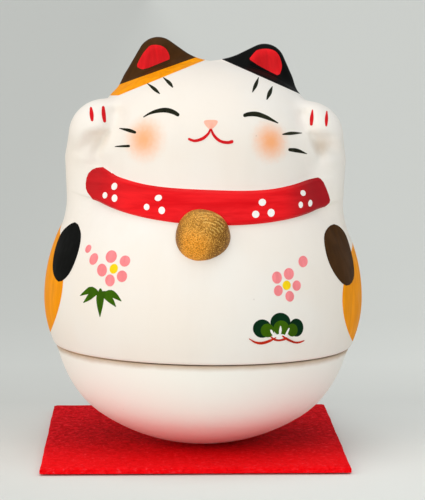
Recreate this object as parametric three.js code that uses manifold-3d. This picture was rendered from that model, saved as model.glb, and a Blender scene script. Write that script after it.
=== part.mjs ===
// Roly-poly lucky cat: a hollow two-part earthenware figure that rocks on a round, weighted bowl.
// Millimetres, +Z up, the face looks along -Y. The origin is on the table, under the figure's axis.
import * as THREE from 'three';
import { mergeVertices } from 'three/addons/utils/BufferGeometryUtils.js';
import Module from 'manifold-3d';

const wasm = await Module();
wasm.setup();

// Driving dimensions. Heights inside the figure are measured from the bottom of its bowl.
const mat = { width: 81, depth: 98, thickness: 1.5, shiftX: -2.9, shiftY: 11 };
const seatGap = 0.3;
const restLean = 0.8; // degrees that the figure rests off upright, its top towards +X

const rocker = { radius: 50, capAngle: 34 };
const bowl = { wall: 4.2, rimSlope: 75, skirt: 3 };
const seam = { height: 26.8, gap: 0.3, overhang: 0.5, edgeRound: 0.8 };
const lip = { height: 3, wall: 1.8, clearance: 0.3, chamfer: 0.5 };
const glue = { clearance: 0.05, inset: 0.7 };
const shellWall = 3.2;

const belly = { aboveSeam: 13.2, radius: 43.2, rise: 43.5, drop: 36 };
const head = {
  aboveBelly: 40, halfWidth: 31.3, halfDepth: 31, rise: 24, drop: 22, squareness: 2.2, lean: 0.5, blend: 9,
};
const arm = {
  out: 28.7, forward: 8, shoulderDrop: 21, wristDrop: 2, shoulderRadius: 7.9, wristRadius: 8.9, blend: 4,
};
const paw = { out: 27, forward: 11, aboveHead: 4.4, radius: 9.6, blend: 2.5 };
const ear = { radius: 5.5, thin: 0.73, blend: 2.8 };
const leftEar = {
  tipOut: 13.6, tipRise: 24.7, innerOut: 5, innerRise: 18.9, rootOut: 17.3, rootRise: 18,
  dishOut: 14.8, dishRise: 24.9,
};
const rightEar = {
  tipOut: 15.2, tipRise: 23.5, innerOut: 4.6, innerRise: 18.1, rootOut: 17.5, rootRise: 18.6,
  dishOut: 15.6, dishRise: 24.5,
};
const earDish = { radiusX: 4.6, radiusZ: 3.7, depth: 0.9, soft: 0.5 };
const collar = { belowHead: 12.4, rise: 9, riseTurn: 130, tilt: 0.9, width: 8.4, relief: 0.9, edge: 0.8 };
const tail = { radius: 5, tipScale: 0.8, length: 14, reach: 5, belowBelly: 6, sink: 2.5, blend: 3 };
const bell = { radius: 7.1, depthRadius: 6, belowCollar: 7.4, shift: -1.2, sink: 0.6, clearance: 0.3 };
const weight = { radius: 21, thickness: 12, chamfer: 1.5 };
const bed = { thickness: 2.6, wall: 5, clearance: 0.3, belowWeightTop: 3 };

// How far a cutter runs past the face it cuts, and how far the crown's fan starts above the collar.
const cutPast = 1;
const crownAboveCollar = 6;

// How many steps the curved faces have, and how the crown's points are evened out.
const counts = {
  columns: 72, edgeRows: 2, bodyRows: 9, slopeRows: 1, collarRows: 3, neckRows: 8, crownRows: 20,
  hollowColumns: 36, hollowRows: 15, hollowCrownRows: 5, capSteps: 6, sideSteps: 5, innerColumns: 36,
  floorSteps: 5, bellColumns: 24, bellRows: 12, searchSteps: 60, halvings: 16,
};
const settling = { rounds: 90, earPull: 1.2, pawPull: 0.8, reach: 2.5, nudge: 0.02, leastSlope: 0.3 };

// Places that follow from the dimensions above.
const bellyHeight = seam.height + belly.aboveSeam;
const headHeight = bellyHeight + head.aboveBelly;
const collarHeight = headHeight - collar.belowHead;
const crownHeight = collarHeight + collar.rise + collar.width / 2 + crownAboveCollar;
const upperEdge = seam.height + seam.gap;
const figureLift = mat.thickness + seatGap;
const radians = THREE.MathUtils.degToRad;

function smoothUnion(a, b, blend) {
  const share = THREE.MathUtils.clamp(0.5 + (0.5 * (b - a)) / blend, 0, 1);
  return b * (1 - share) + a * share - blend * share * (1 - share);
}

// Distance to a rounded egg: one radius up, another down, and a power above 2 for squarer shoulders.
function eggDistance(x, y, z, radiusX, radiusY, rise, drop, power) {
  const radii = [radiusX, radiusY, z < 0 ? drop : rise];
  const parts = [x, y, z].map((value, axis) => Math.abs(value) / radii[axis]);
  const level = Math.max(parts.reduce((sum, part) => sum + part ** power, 0) ** (1 / power), 1e-6);
  const slopes = parts.map((part, axis) => (part / level) ** (power - 1) / radii[axis]);
  return (level - 1) / Math.hypot(...slopes);
}

// Distance to a limb that tapers between two balls.
function limbDistance(x, y, z, from, to, radiusFrom, radiusTo) {
  const line = [to[0] - from[0], to[1] - from[1], to[2] - from[2]];
  const offset = [x - from[0], y - from[1], z - from[2]];
  const along = offset[0] * line[0] + offset[1] * line[1] + offset[2] * line[2];
  const share = THREE.MathUtils.clamp(along / (line[0] ** 2 + line[1] ** 2 + line[2] ** 2), 0, 1);
  const miss = offset.map((value, axis) => value - share * line[axis]);
  return Math.hypot(...miss) - radiusFrom - share * (radiusTo - radiusFrom);
}

// Distance in the front view to a triangle given by its corners, 0 inside it.
function triangleDistance(x, z, corners) {
  let nearest = Infinity;
  let turns = 0;
  corners.forEach(([fromX, fromZ], index) => {
    const [toX, toZ] = corners[(index + 1) % 3];
    const edgeX = toX - fromX;
    const edgeZ = toZ - fromZ;
    const along = ((x - fromX) * edgeX + (z - fromZ) * edgeZ) / (edgeX ** 2 + edgeZ ** 2);
    const share = THREE.MathUtils.clamp(along, 0, 1);
    nearest = Math.min(nearest, Math.hypot(x - fromX - share * edgeX, z - fromZ - share * edgeZ));
    turns += Math.sign(edgeX * (z - fromZ) - edgeZ * (x - fromX));
  });
  return Math.abs(turns) === 3 ? 0 : nearest;
}

// The collar band's middle height at an azimuth: lowest under the chin, higher behind the arms.
function collarMiddle(azimuth) {
  const turn = Math.min(1, Math.abs(azimuth) / radians(collar.riseTurn));
  return collarHeight + collar.rise * Math.sin((Math.PI / 2) * turn) ** 2 - collar.tilt * Math.sin(azimuth);
}

function collarRelief(x, y, z) {
  const offset = Math.abs(z - collarMiddle(Math.atan2(x, -y)));
  const flat = (collar.width - collar.edge) / 2;
  return collar.relief * (1 - THREE.MathUtils.smoothstep(offset, flat, flat + collar.edge));
}

function armDistance(x, y, z) {
  const shoulder = [arm.out, -arm.forward, headHeight - arm.shoulderDrop];
  const wrist = [arm.out, -arm.forward, headHeight - arm.wristDrop];
  return limbDistance(Math.abs(x), y, z, shoulder, wrist, arm.shoulderRadius, arm.wristRadius);
}

function pawDistance(x, y, z) {
  return Math.hypot(Math.abs(x) - paw.out, y + paw.forward, z - headHeight - paw.aboveHead) - paw.radius;
}

// Both ears, each with the distance out from the middle on its own side.
const earSides = (x) => [[-x, leftEar], [x, rightEar]];

function earDistance(x, y, z) {
  const distances = earSides(x).map(([out, side]) => triangleDistance(out, z, [
    [side.rootOut, headHeight + side.rootRise],
    [side.tipOut, headHeight + side.tipRise],
    [side.innerOut, headHeight + side.innerRise],
  ]));
  return Math.hypot(Math.min(...distances), y / ear.thin) - ear.radius;
}

// The inner ear: a shallow dish pressed into the front of each ear.
function dishDistance(x, y, z) {
  const front = -ear.radius * ear.thin;
  const levels = earSides(x).map(([out, side]) => {
    const across = (out - side.dishOut) / earDish.radiusX;
    const up = (z - headHeight - side.dishRise) / earDish.radiusZ;
    return Math.hypot(across, up);
  });
  return (Math.hypot(Math.min(...levels), (y - front) / earDish.depth) - 1) * earDish.depth;
}

function tailDistance(x, y, z) {
  const depth = belly.radius - tail.sink;
  const root = [0, depth, bellyHeight - tail.belowBelly];
  const tip = [tail.reach, depth, root[2] + tail.length];
  return limbDistance(x, y, z, root, tip, tail.radius, tail.radius * tail.tipScale);
}

// The figure's outside as a distance: belly, leaning head and raised arms run together as one clay form.
// Without the detail it is the plain form that the hollow inside follows.
function figureDistance(x, y, z, detailed) {
  const up = z - bellyHeight;
  const leanCos = Math.cos(radians(head.lean));
  const leanSin = Math.sin(radians(head.lean));
  const headX = x * leanCos - up * leanSin;
  const headZ = x * leanSin + up * leanCos + bellyHeight;
  const torso = eggDistance(x, y, up, belly.radius, belly.radius, belly.rise, belly.drop, 2);
  const skull = eggDistance(
    headX, y, headZ - headHeight, head.halfWidth, head.halfDepth, head.rise, head.drop, head.squareness,
  );
  let distance = smoothUnion(torso, skull, head.blend);
  if (detailed) {
    distance -= collarRelief(x, y, z);
    distance = smoothUnion(distance, tailDistance(x, y, z), tail.blend);
  }
  distance = smoothUnion(distance, armDistance(x, y, z), arm.blend);
  if (!detailed) {
    return distance;
  }
  distance = smoothUnion(distance, pawDistance(x, y, z), paw.blend);
  distance = smoothUnion(distance, earDistance(headX, y, headZ), ear.blend);
  return -smoothUnion(-distance, dishDistance(headX, y, headZ), earDish.soft);
}

// The point where a ray from the figure's axis leaves the form that lies a distance inside or outside it.
function leavingPoint(azimuth, height, elevation, offset, detailed) {
  const level = Math.cos(elevation);
  const direction = [Math.sin(azimuth) * level, -Math.cos(azimuth) * level, Math.sin(elevation)];
  const place = (reach) => [direction[0] * reach, direction[1] * reach, height + direction[2] * reach];
  const excess = (reach) => figureDistance(...place(reach), detailed) - offset;
  const step = belly.radius / counts.searchSteps;
  let outside = step;
  while (excess(outside) < 0) {
    outside += step;
  }
  let inside = outside - step;
  for (let halving = 0; halving < counts.halvings; halving += 1) {
    const middle = (inside + outside) / 2;
    if (excess(middle) < 0) {
      inside = middle;
    } else {
      outside = middle;
    }
  }
  return place((inside + outside) / 2);
}

// How far the lower edge of the upper shell is rounded in at a height.
function edgeInset(height) {
  const below = Math.max(0, seam.edgeRound - (height - upperEdge));
  return seam.edgeRound - Math.sqrt(Math.max(0, seam.edgeRound ** 2 - below ** 2));
}

// Rows of rays up the axis: level ones to the crown height, then fanning up to the pole.
// The detailed rows bend with the collar, so that its edges fall on rows.
function rowRays(azimuth, detailed, bottom) {
  const rows = [];
  const addLevels = (from, to, count) => {
    for (let step = 0; step < count; step += 1) {
      rows.push({ height: from + ((to - from) * step) / count, elevation: 0 });
    }
  };
  if (detailed) {
    const middle = collarMiddle(azimuth);
    const reach = (collar.width + collar.edge) / 2;
    const flat = (collar.width - collar.edge) / 2;
    addLevels(bottom, bottom + seam.edgeRound, counts.edgeRows);
    addLevels(bottom + seam.edgeRound, middle - reach, counts.bodyRows);
    addLevels(middle - reach, middle - flat, counts.slopeRows);
    addLevels(middle - flat, middle + flat, counts.collarRows);
    addLevels(middle + flat, middle + reach, counts.slopeRows);
    addLevels(middle + reach, crownHeight, counts.neckRows);
  } else {
    addLevels(bottom, crownHeight, counts.hollowRows);
  }
  const crownRows = detailed ? counts.crownRows : counts.hollowCrownRows;
  for (let step = 0; step < crownRows; step += 1) {
    rows.push({ height: crownHeight, elevation: ((Math.PI / 2) * step) / crownRows });
  }
  return rows;
}

// Pulls a point towards the form that lies an offset outside the figure, by one step down its slope.
function pulledIn([x, y, z], offset) {
  const { nudge, leastSlope } = settling;
  const here = figureDistance(x, y, z, true);
  const slope = [
    (figureDistance(x + nudge, y, z, true) - here) / nudge,
    (figureDistance(x, y + nudge, z, true) - here) / nudge,
    (figureDistance(x, y, z + nudge, true) - here) / nudge,
  ];
  const share = (here - offset) / Math.max(slope[0] ** 2 + slope[1] ** 2 + slope[2] ** 2, leastSlope);
  return [x - share * slope[0], y - share * slope[1], z - share * slope[2]];
}

// How strongly a point draws its neighbours: most on the ears and paws.
function pullOf([x, y, z]) {
  const near = (distance) => Math.exp(-((Math.max(0, distance) / settling.reach) ** 2));
  return 1 + settling.earPull * near(earDistance(x, y, z)) + settling.pawPull * near(pawDistance(x, y, z));
}

// Spreads the points above the collar, so that the ears, which rays only graze, get their share.
function settleCrown(rings, top, offset) {
  const first = counts.edgeRows + counts.bodyRows + counts.collarRows + 2 * counts.slopeRows + 1;
  const around = counts.columns;
  for (let round = 0; round < settling.rounds; round += 1) {
    const before = rings.map((ring) => [...ring]);
    const pulls = before.map((ring, row) => ring.map((point) => (row < first ? 1 : pullOf(point))));
    for (let row = first; row < rings.length; row += 1) {
      for (let column = 0; column < around; column += 1) {
        const left = (column + around - 1) % around;
        const right = (column + 1) % around;
        const neighbours = [
          [before[row - 1][column], pulls[row - 1][column]],
          [before[row + 1]?.[column] ?? top, pulls[row + 1]?.[column] ?? 1],
          [before[row][left], pulls[row][left]],
          [before[row][right], pulls[row][right]],
        ];
        const total = neighbours.reduce((sum, [, pull]) => sum + pull, 0);
        const average = [0, 1, 2].map(
          (axis) => neighbours.reduce((sum, [point, pull]) => sum + point[axis] * pull, 0) / total,
        );
        rings[row][column] = pulledIn(average, offset);
      }
    }
  }
  for (let row = first; row < rings.length; row += 1) {
    rings[row] = rings[row].map((point) => pulledIn(pulledIn(point, offset), offset));
  }
}

// A closed mesh from rings of points, with one point closing each end.
function closedRings(rings, bottomPoint, topPoint) {
  const around = rings[0].length;
  const positions = [...rings.flat(), bottomPoint, topPoint].flat();
  const bottomIndex = rings.length * around;
  const triangles = [];
  for (let column = 0; column < around; column += 1) {
    const next = (column + 1) % around;
    triangles.push(bottomIndex, next, column);
    for (let row = 0; row + 1 < rings.length; row += 1) {
      const low = row * around;
      const high = low + around;
      triangles.push(low + column, low + next, high + next);
      triangles.push(low + column, high + next, high + column);
    }
    const last = (rings.length - 1) * around;
    triangles.push(last + column, last + next, bottomIndex + 1);
  }
  const geometry = new THREE.BufferGeometry();
  geometry.setAttribute('position', new THREE.Float32BufferAttribute(positions, 3));
  geometry.setIndex(triangles);
  return geometry;
}

// The figure's form above a height, grown or shrunk by an offset.
function figureForm({ bottom, offset, detailed }) {
  const around = detailed ? counts.columns : counts.hollowColumns;
  const columns = Array.from({ length: around }, (_, column) => {
    const turn = (2 * Math.PI * column) / around;
    const azimuth = turn > Math.PI ? turn - 2 * Math.PI : turn;
    return rowRays(azimuth, detailed, bottom).map(({ height, elevation }) => {
      const inset = detailed ? edgeInset(height) : 0;
      return leavingPoint(azimuth, height, elevation, offset - inset, detailed);
    });
  });
  const rings = columns[0].map((_, row) => columns.map((column) => column[row]));
  const top = leavingPoint(0, crownHeight, Math.PI / 2, offset, detailed);
  if (detailed) {
    settleCrown(rings, top, offset);
  }
  return closedRings(rings, [0, 0, bottom], top);
}

// A turned form about +Z from a profile of radius and height points.
function turned(profile, around = counts.columns) {
  const points = profile.map(([radius, height]) => new THREE.Vector2(radius, height));
  return new THREE.LatheGeometry(points, around).rotateX(Math.PI / 2);
}

function toSolid(geometry) {
  const bare = geometry.clone();
  bare.deleteAttribute('normal');
  bare.deleteAttribute('uv');
  const merged = mergeVertices(bare, 1e-4);
  const corners = Array.from(merged.index.array);
  const triVerts = [];
  for (let first = 0; first < corners.length; first += 3) {
    const [a, b, c] = corners.slice(first, first + 3);
    if (a !== b && b !== c && c !== a) {
      triVerts.push(a, b, c);
    }
  }
  const mesh = new wasm.Mesh({
    numProp: 3,
    vertProperties: new Float32Array(merged.attributes.position.array),
    triVerts: new Uint32Array(triVerts),
  });
  return new wasm.Manifold(mesh);
}

function toGeometry(solid) {
  const mesh = solid.getMesh();
  const geometry = new THREE.BufferGeometry();
  geometry.setAttribute('position', new THREE.Float32BufferAttribute(mesh.vertProperties, 3));
  geometry.setIndex(Array.from(mesh.triVerts));
  geometry.computeVertexNormals();
  return geometry;
}

// Radii at the seam: the upper edge stands proud of the bowl, and its mouth takes the bowl's lip.
const upperEdgeRadius = -leavingPoint(0, upperEdge, 0, -seam.edgeRound, true)[1];
const rimRadius = upperEdgeRadius + seam.edgeRound - seam.overhang;
const mouthRadius = upperEdgeRadius + seam.edgeRound - shellWall;
const lipRadius = mouthRadius - lip.clearance;

function makeUpperShell() {
  const outside = toSolid(figureForm({ bottom: upperEdge, offset: 0, detailed: true }));
  const hollow = toSolid(figureForm({ bottom: upperEdge - cutPast, offset: -shellWall, detailed: false }));
  const mouthTop = upperEdge + lip.height + lip.clearance;
  const mouth = toSolid(turned([
    [0, upperEdge - cutPast], [mouthRadius, upperEdge - cutPast], [mouthRadius, mouthTop], [0, mouthTop],
  ]));
  return outside.subtract(hollow).subtract(mouth);
}

// The bowl's outside: a true ball where it rocks, then a quicker curve up to the rim.
function bowlOutside(inset) {
  const capAngle = radians(rocker.capAngle);
  const rimAngle = radians(bowl.rimSlope);
  const points = [];
  for (let step = 0; step <= counts.capSteps; step += 1) {
    const angle = (capAngle * step) / counts.capSteps;
    const radius = rocker.radius - inset;
    points.push([radius * Math.sin(angle), rocker.radius - radius * Math.cos(angle)]);
  }
  const start = new THREE.Vector2(...points.at(-1));
  const end = new THREE.Vector2(
    rimRadius - inset * Math.sin(rimAngle), seam.height + inset * Math.cos(rimAngle),
  );
  const run = end.clone().sub(start);
  const turn = Math.sin(rimAngle - capAngle);
  const reach = (run.x * Math.sin(rimAngle) - run.y * Math.cos(rimAngle)) / turn;
  const bend = new THREE.Vector2(Math.cos(capAngle), Math.sin(capAngle)).multiplyScalar(reach).add(start);
  const side = new THREE.QuadraticBezierCurve(start, bend, end).getPoints(counts.sideSteps);
  side.slice(1).forEach((point) => points.push([point.x, point.y]));
  return points;
}

function makeLowerBowl() {
  const lipInner = lipRadius - lip.wall;
  const lipTop = seam.height + lip.height;
  const skirtBottom = seam.height - bowl.skirt;
  const inside = bowlOutside(bowl.wall).filter(
    ([radius, height]) => radius < lipInner && height < skirtBottom,
  );
  return toSolid(turned([
    ...bowlOutside(0),
    [lipRadius, seam.height],
    [lipRadius, lipTop - lip.chamfer],
    [lipRadius - lip.chamfer, lipTop],
    [lipInner, lipTop],
    [lipInner, skirtBottom],
    ...inside.reverse(),
  ]));
}

function makeSeamGlue() {
  const inner = lipRadius + lip.clearance;
  const outer = rimRadius - glue.inset;
  const low = seam.height + glue.clearance;
  const high = upperEdge - glue.clearance;
  return toSolid(turned([[inner, low], [outer, low], [outer, high], [inner, high], [inner, low]]));
}

// Points from the axis outwards on a ball that lies inside the rocking ball by an inset.
function floorArc(inset, reach) {
  const ball = rocker.radius - inset;
  return Array.from({ length: counts.floorSteps + 1 }, (_, step) => {
    const radius = (reach * step) / counts.floorSteps;
    return [radius, rocker.radius - Math.sqrt(ball ** 2 - radius ** 2)];
  });
}

const weightTop = bowl.wall + bed.thickness + weight.thickness;

// A cast weight with a domed underside that follows the bowl's floor.
function makeBallastWeight() {
  const { radius, chamfer } = weight;
  return toSolid(turned([
    ...floorArc(bowl.wall + bed.thickness, radius),
    [radius, weightTop - chamfer],
    [radius - chamfer, weightTop],
    [0, weightTop],
  ], counts.innerColumns));
}

// The plaster that holds the weight: a layer on the bowl's floor that rises round the weight's side.
function makeWeightBed() {
  const pocket = weight.radius + bed.clearance;
  const top = weightTop - bed.belowWeightTop;
  const under = floorArc(bowl.wall + bed.clearance, pocket + bed.wall);
  const over = floorArc(bowl.wall + bed.thickness - bed.clearance, pocket);
  const profile = [...under, [pocket + bed.wall, top], [pocket, top], ...over.reverse()];
  return toSolid(turned(profile, counts.innerColumns));
}

function makeBell() {
  const height = collarHeight - bell.belowCollar;
  const surface = leavingPoint(0, height, 0, 0, false);
  const ball = new THREE.SphereGeometry(1, counts.bellColumns, counts.bellRows)
    .rotateX(Math.PI / 2)
    .scale(bell.radius, bell.depthRadius, bell.radius)
    .translate(bell.shift, surface[1] + bell.sink, height);
  const seat = toSolid(figureForm({ bottom: upperEdge, offset: bell.clearance, detailed: true }));
  return toSolid(ball).subtract(seat);
}

function makeMat() {
  return new THREE.BoxGeometry(mat.width, mat.depth, mat.thickness).translate(
    mat.shiftX, mat.shiftY, mat.thickness / 2,
  );
}

function addPiece(parent, name, geometry, color, roughness, metalness = 0) {
  const mesh = new THREE.Mesh(geometry, new THREE.MeshStandardMaterial({ color, roughness, metalness }));
  mesh.name = name;
  parent.add(mesh);
  return mesh;
}

const luckyCat = new THREE.Group();
addPiece(luckyCat, 'felt_mat', makeMat(), 0xc80a14, 0.95);

// The figure rests turned about the middle of the ball that it stands on.
const figure = new THREE.Group();
const lean = radians(restLean);
figure.rotation.y = lean;
figure.position.x = -rocker.radius * Math.sin(lean);
figure.position.z = figureLift + rocker.radius * (1 - Math.cos(lean));
luckyCat.add(figure);
addPiece(figure, 'upper_shell', toGeometry(makeUpperShell()), 0xf1e8d9, 0.7);
addPiece(figure, 'lower_bowl', toGeometry(makeLowerBowl()), 0xf1e8d9, 0.7);
addPiece(figure, 'seam_glue', toGeometry(makeSeamGlue()), 0x6b4a2c, 0.6);
addPiece(figure, 'bell', toGeometry(makeBell()), 0xb47328, 0.4, 0.8);
addPiece(figure, 'ballast_weight', toGeometry(makeBallastWeight()), 0x4a4a4c, 0.6, 0.7);
addPiece(figure, 'weight_bed', toGeometry(makeWeightBed()), 0xd8d2c6, 0.9);

export default luckyCat;
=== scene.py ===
"""A roly-poly lucky cat: painted earthenware on a round, weighted bowl that stands on a red felt mat.

The clay form is worked out in millimetres, in the figure's own frame: heights are measured from the bottom
of the bowl, the face looks along -Y, and +X is on the right of someone who faces the cat. Outlines of the
paint are pixels of the photograph, as column and row, cast through its camera onto the clay.
"""
import bmesh
import bpy
import math
import numpy as np
from mathutils import Matrix, Vector
from mathutils.bvhtree import BVHTree
from types import SimpleNamespace as Sizes


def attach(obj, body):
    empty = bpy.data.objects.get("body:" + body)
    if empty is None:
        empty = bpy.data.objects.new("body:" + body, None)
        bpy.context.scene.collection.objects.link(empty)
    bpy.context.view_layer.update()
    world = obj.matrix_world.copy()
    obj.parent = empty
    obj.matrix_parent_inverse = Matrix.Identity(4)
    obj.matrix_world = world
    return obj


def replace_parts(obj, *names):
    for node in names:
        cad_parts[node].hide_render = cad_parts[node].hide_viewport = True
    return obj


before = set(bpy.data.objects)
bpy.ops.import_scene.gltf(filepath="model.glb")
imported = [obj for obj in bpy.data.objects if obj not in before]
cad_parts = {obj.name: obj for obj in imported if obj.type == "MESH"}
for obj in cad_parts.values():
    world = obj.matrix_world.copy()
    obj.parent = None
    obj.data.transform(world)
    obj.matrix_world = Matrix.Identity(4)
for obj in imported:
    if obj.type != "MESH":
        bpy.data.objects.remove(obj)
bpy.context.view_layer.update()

# Sizes in millimetres and degrees, as in the solid model. Palm, crease and trim are this script's own: they
# press in the clay under and beside the paws, and lower the collar's upper edge.
felt = Sizes(width=81, depth=98, thickness=1.5, shift_x=-2.9, shift_y=11)
SEAT_GAP = 0.3
REST_LEAN = math.radians(0.8)
rocker = Sizes(radius=50, cap_angle=34)
bowl = Sizes(wall=4.2, rim_slope=75, skirt=3, rim_round=0.45)
seam = Sizes(height=26.8, gap=0.3, overhang=0.5, edge_round=0.8)
lip = Sizes(height=3, wall=1.8, clearance=0.3, chamfer=0.5)
glue = Sizes(clearance=0.05, inset=0.7, bulge=0.25, wobble=0.0022)
SHELL_WALL = 3.2
belly = Sizes(above_seam=13.2, radius=43.2, rise=43.5, drop=36)
head = Sizes(
    above_belly=40, half_width=31.3, half_depth=31, rise=24, drop=22, squareness=2.2, lean=0.5, blend=9,
)
arm = Sizes(
    out=28.7, forward=8, shoulder_drop=21, wrist_drop=2, shoulder_radius=7.9, wrist_radius=8.9, blend=4,
)
paw = Sizes(out=27, forward=11, above_head=4.4, radius=9.6, blend=2.5)
palm = Sizes(top=6.8, edge=2.4, bottom=-2.2, fade=5.5, width=3.4, thinning=4.4, depth=2.5, front=4.6)
crease = Sizes(
    out=24.9, farthest=29.2, aside=0.6, top=13.5, top_fade=3.5, bottom=-6, bottom_fade=7, bend=0.023,
    half_width=2.2, depth=1.7,
)
ear = Sizes(radius=5.5, thin=0.73, blend=2.8)
EARS = (
    Sizes(side=-1, root=(17.3, 18), tip=(13.6, 24.7), inner=(5, 18.9), dish=(14.8, 24.9)),
    Sizes(side=1, root=(17.5, 18.6), tip=(15.2, 23.5), inner=(4.6, 18.1), dish=(15.6, 24.5)),
)
ear_dish = Sizes(radius_x=4.6, radius_z=3.7, depth=0.9, soft=0.5)
collar = Sizes(below_head=12.4, rise=9, rise_turn=130, tilt=0.9, width=8.4, relief=0.9, edge=0.8)
trim = Sizes(middle=0.45, side=1.15, side_from=36, left_end=58, left_fade=12, right_end=95, right_fade=20)
tail = Sizes(radius=5, tip_scale=0.8, length=14, reach=5, below_belly=6, sink=2.5, blend=3)
bell = Sizes(radius=7.1, depth_radius=6, below_collar=7.4, shift=-1.2, sink=0.6, bite=0.05)

METRE = 1000
CROWN_ABOVE_COLLAR = 6
BELLY_HEIGHT = seam.height + belly.above_seam
HEAD_HEIGHT = BELLY_HEIGHT + head.above_belly
COLLAR_HEIGHT = HEAD_HEIGHT - collar.below_head
COLLAR_FOOT = (collar.width + collar.edge) / 2
CROWN_HEIGHT = COLLAR_HEIGHT + collar.rise + collar.width / 2 + CROWN_ABOVE_COLLAR
UPPER_EDGE = seam.height + seam.gap
FIGURE_LIFT = felt.thickness + SEAT_GAP

# How finely the clay is cut: the coarse grid is evened out first and then split in four, twice.
grid = Sizes(
    around=72, edge=2, body=9, foot=1, band=3, neck=8, crown=20, rounds=90, splits=2,
)
settling = Sizes(ear_pull=1.2, paw_pull=0.8, reach=2.5, fine_rounds=8)
search = Sizes(step=0.75, halvings=14, nudge=0.02, least_slope=0.3)
hidden = Sizes(hollow_rows=18, hollow_fan=8, bowl_outside=28, bowl_inside=14, turned=256, hub=0.02)

# The figure rests a little off upright, turned about the middle of the ball that it stands on.
BALL_MIDDLE = np.array((0, 0, rocker.radius))
LEANING = np.array((
    (math.cos(REST_LEAN), 0, math.sin(REST_LEAN)), (0, 1, 0), (-math.sin(REST_LEAN), 0, math.cos(REST_LEAN)),
))
UPRIGHT = tuple(LEANING[:, 2])


def to_metres(points):
    """Points of the figure's own frame, in metres above the table."""
    return ((np.asarray(points) - BALL_MIDDLE) @ LEANING.T + BALL_MIDDLE + (0, 0, FIGURE_LIFT)) / METRE


# The photograph's camera: its right, up and forward axes as rows, and its place in millimetres.
photo = Sizes(width=425, height=500, focal=2430, horizon=-10)
camera_fit = Sizes(height=124.9, axis_depth=658.2, axis_left=2.44, yaw=math.radians(1.5), film=36)
pitch = math.atan((photo.height / 2 - photo.horizon) / photo.focal)
rightwards = np.array((math.cos(camera_fit.yaw), -math.sin(camera_fit.yaw), 0))
level_aim = np.array((math.sin(camera_fit.yaw), math.cos(camera_fit.yaw), 0))
forwards = level_aim * math.cos(pitch) - np.array((0, 0, math.sin(pitch)))
CAMERA_AXES = np.array((rightwards, np.cross(rightwards, forwards), forwards))
axis_place = rightwards * camera_fit.axis_left - level_aim * camera_fit.axis_depth
CAMERA_PLACE = axis_place + (0, 0, camera_fit.height)
SEEN_FROM = (CAMERA_PLACE - (0, 0, FIGURE_LIFT) - BALL_MIDDLE) @ LEANING + BALL_MIDDLE


def aim_at(column, row):
    """The direction of a pixel's ray in the figure's own frame."""
    across, up = (column - photo.width / 2) / photo.focal, (photo.height / 2 - row) / photo.focal
    return np.array((across, up, 1)) @ CAMERA_AXES @ LEANING


def placed(name, data):
    """A new object in the scene."""
    thing = bpy.data.objects.new(name, data)
    bpy.context.collection.objects.link(thing)
    return thing


def make_camera():
    data = bpy.data.cameras.new("camera")
    data.sensor_width = camera_fit.film
    data.lens = camera_fit.film * photo.focal / photo.height
    data.clip_start, data.clip_end = 0.01, 100
    matrix = np.eye(4)
    matrix[:3, :3] = np.array((*CAMERA_AXES[:2], -CAMERA_AXES[2])).T
    matrix[:3, 3] = CAMERA_PLACE / METRE
    camera = placed("camera", data)
    camera.matrix_world = Matrix(matrix)
    bpy.context.scene.camera = camera


# The clay form as a distance in millimetres: the solid model's function, with palm, crease and trim besides.
def smooth_union(a, b, blend):
    share = np.clip(0.5 + 0.5 * (b - a) / blend, 0, 1)
    return b * (1 - share) + a * share - blend * share * (1 - share)


def smooth_step(low, high, value):
    share = np.clip((value - low) / (high - low), 0, 1)
    return share * share * (3 - 2 * share)


def between(low, low_fade, high, high_fade, value):
    """1 where a value lies between two limits, fading to 0 inside each of them."""
    return smooth_step(low, low + low_fade, value) * (1 - smooth_step(high - high_fade, high, value))


def egg_distance(x, y, z, radius_x, radius_y, rise, drop, power):
    radii = [radius_x, radius_y, np.where(z < 0, drop, rise)]
    parts = np.stack([np.abs(value) / radius for value, radius in zip((x, y, z), radii)])
    level = np.maximum((parts ** power).sum(0) ** (1 / power), 1e-6)
    slopes = [(part / level) ** (power - 1) / radius for part, radius in zip(parts, radii)]
    return (level - 1) / np.sqrt(sum(slope ** 2 for slope in slopes))


def limb_distance(x, y, z, start, end, start_radius, end_radius):
    line = np.subtract(end, start)
    offset = np.stack([x - start[0], y - start[1], z - start[2]], -1)
    share = np.clip(offset @ line / (line @ line), 0, 1)
    miss = np.linalg.norm(offset - share[..., None] * line, axis=-1)
    return miss - start_radius - share * (end_radius - start_radius)


def triangle_distance(x, z, corners):
    nearest = np.full(np.shape(x), np.inf)
    turns = np.zeros(np.shape(x))
    for (from_x, from_z), (to_x, to_z) in zip(corners, corners[1:] + corners[:1]):
        edge_x, edge_z = to_x - from_x, to_z - from_z
        share = np.clip(((x - from_x) * edge_x + (z - from_z) * edge_z) / (edge_x ** 2 + edge_z ** 2), 0, 1)
        nearest = np.minimum(nearest, np.hypot(x - from_x - share * edge_x, z - from_z - share * edge_z))
        turns += np.sign(edge_x * (z - from_z) - edge_z * (x - from_x))
    return np.where(np.abs(turns) == 3, 0, nearest)


def collar_middle(azimuth):
    turn = np.minimum(1, np.abs(azimuth) / math.radians(collar.rise_turn))
    return COLLAR_HEIGHT + collar.rise * np.sin(math.pi / 2 * turn) ** 2 - collar.tilt * np.sin(azimuth)


def collar_trim(azimuth):
    """How far the collar's upper edge is lowered in front, most on both sides of the bell."""
    degrees = np.degrees(azimuth)
    sag = trim.middle + (trim.side - trim.middle) * smooth_step(0, trim.side_from, np.abs(degrees))
    return sag * between(-trim.left_end, trim.left_fade, trim.right_end, trim.right_fade, degrees)


def collar_top(azimuth):
    """The height of the collar's upper foot."""
    return collar_middle(azimuth) + COLLAR_FOOT - collar_trim(azimuth)


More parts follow.
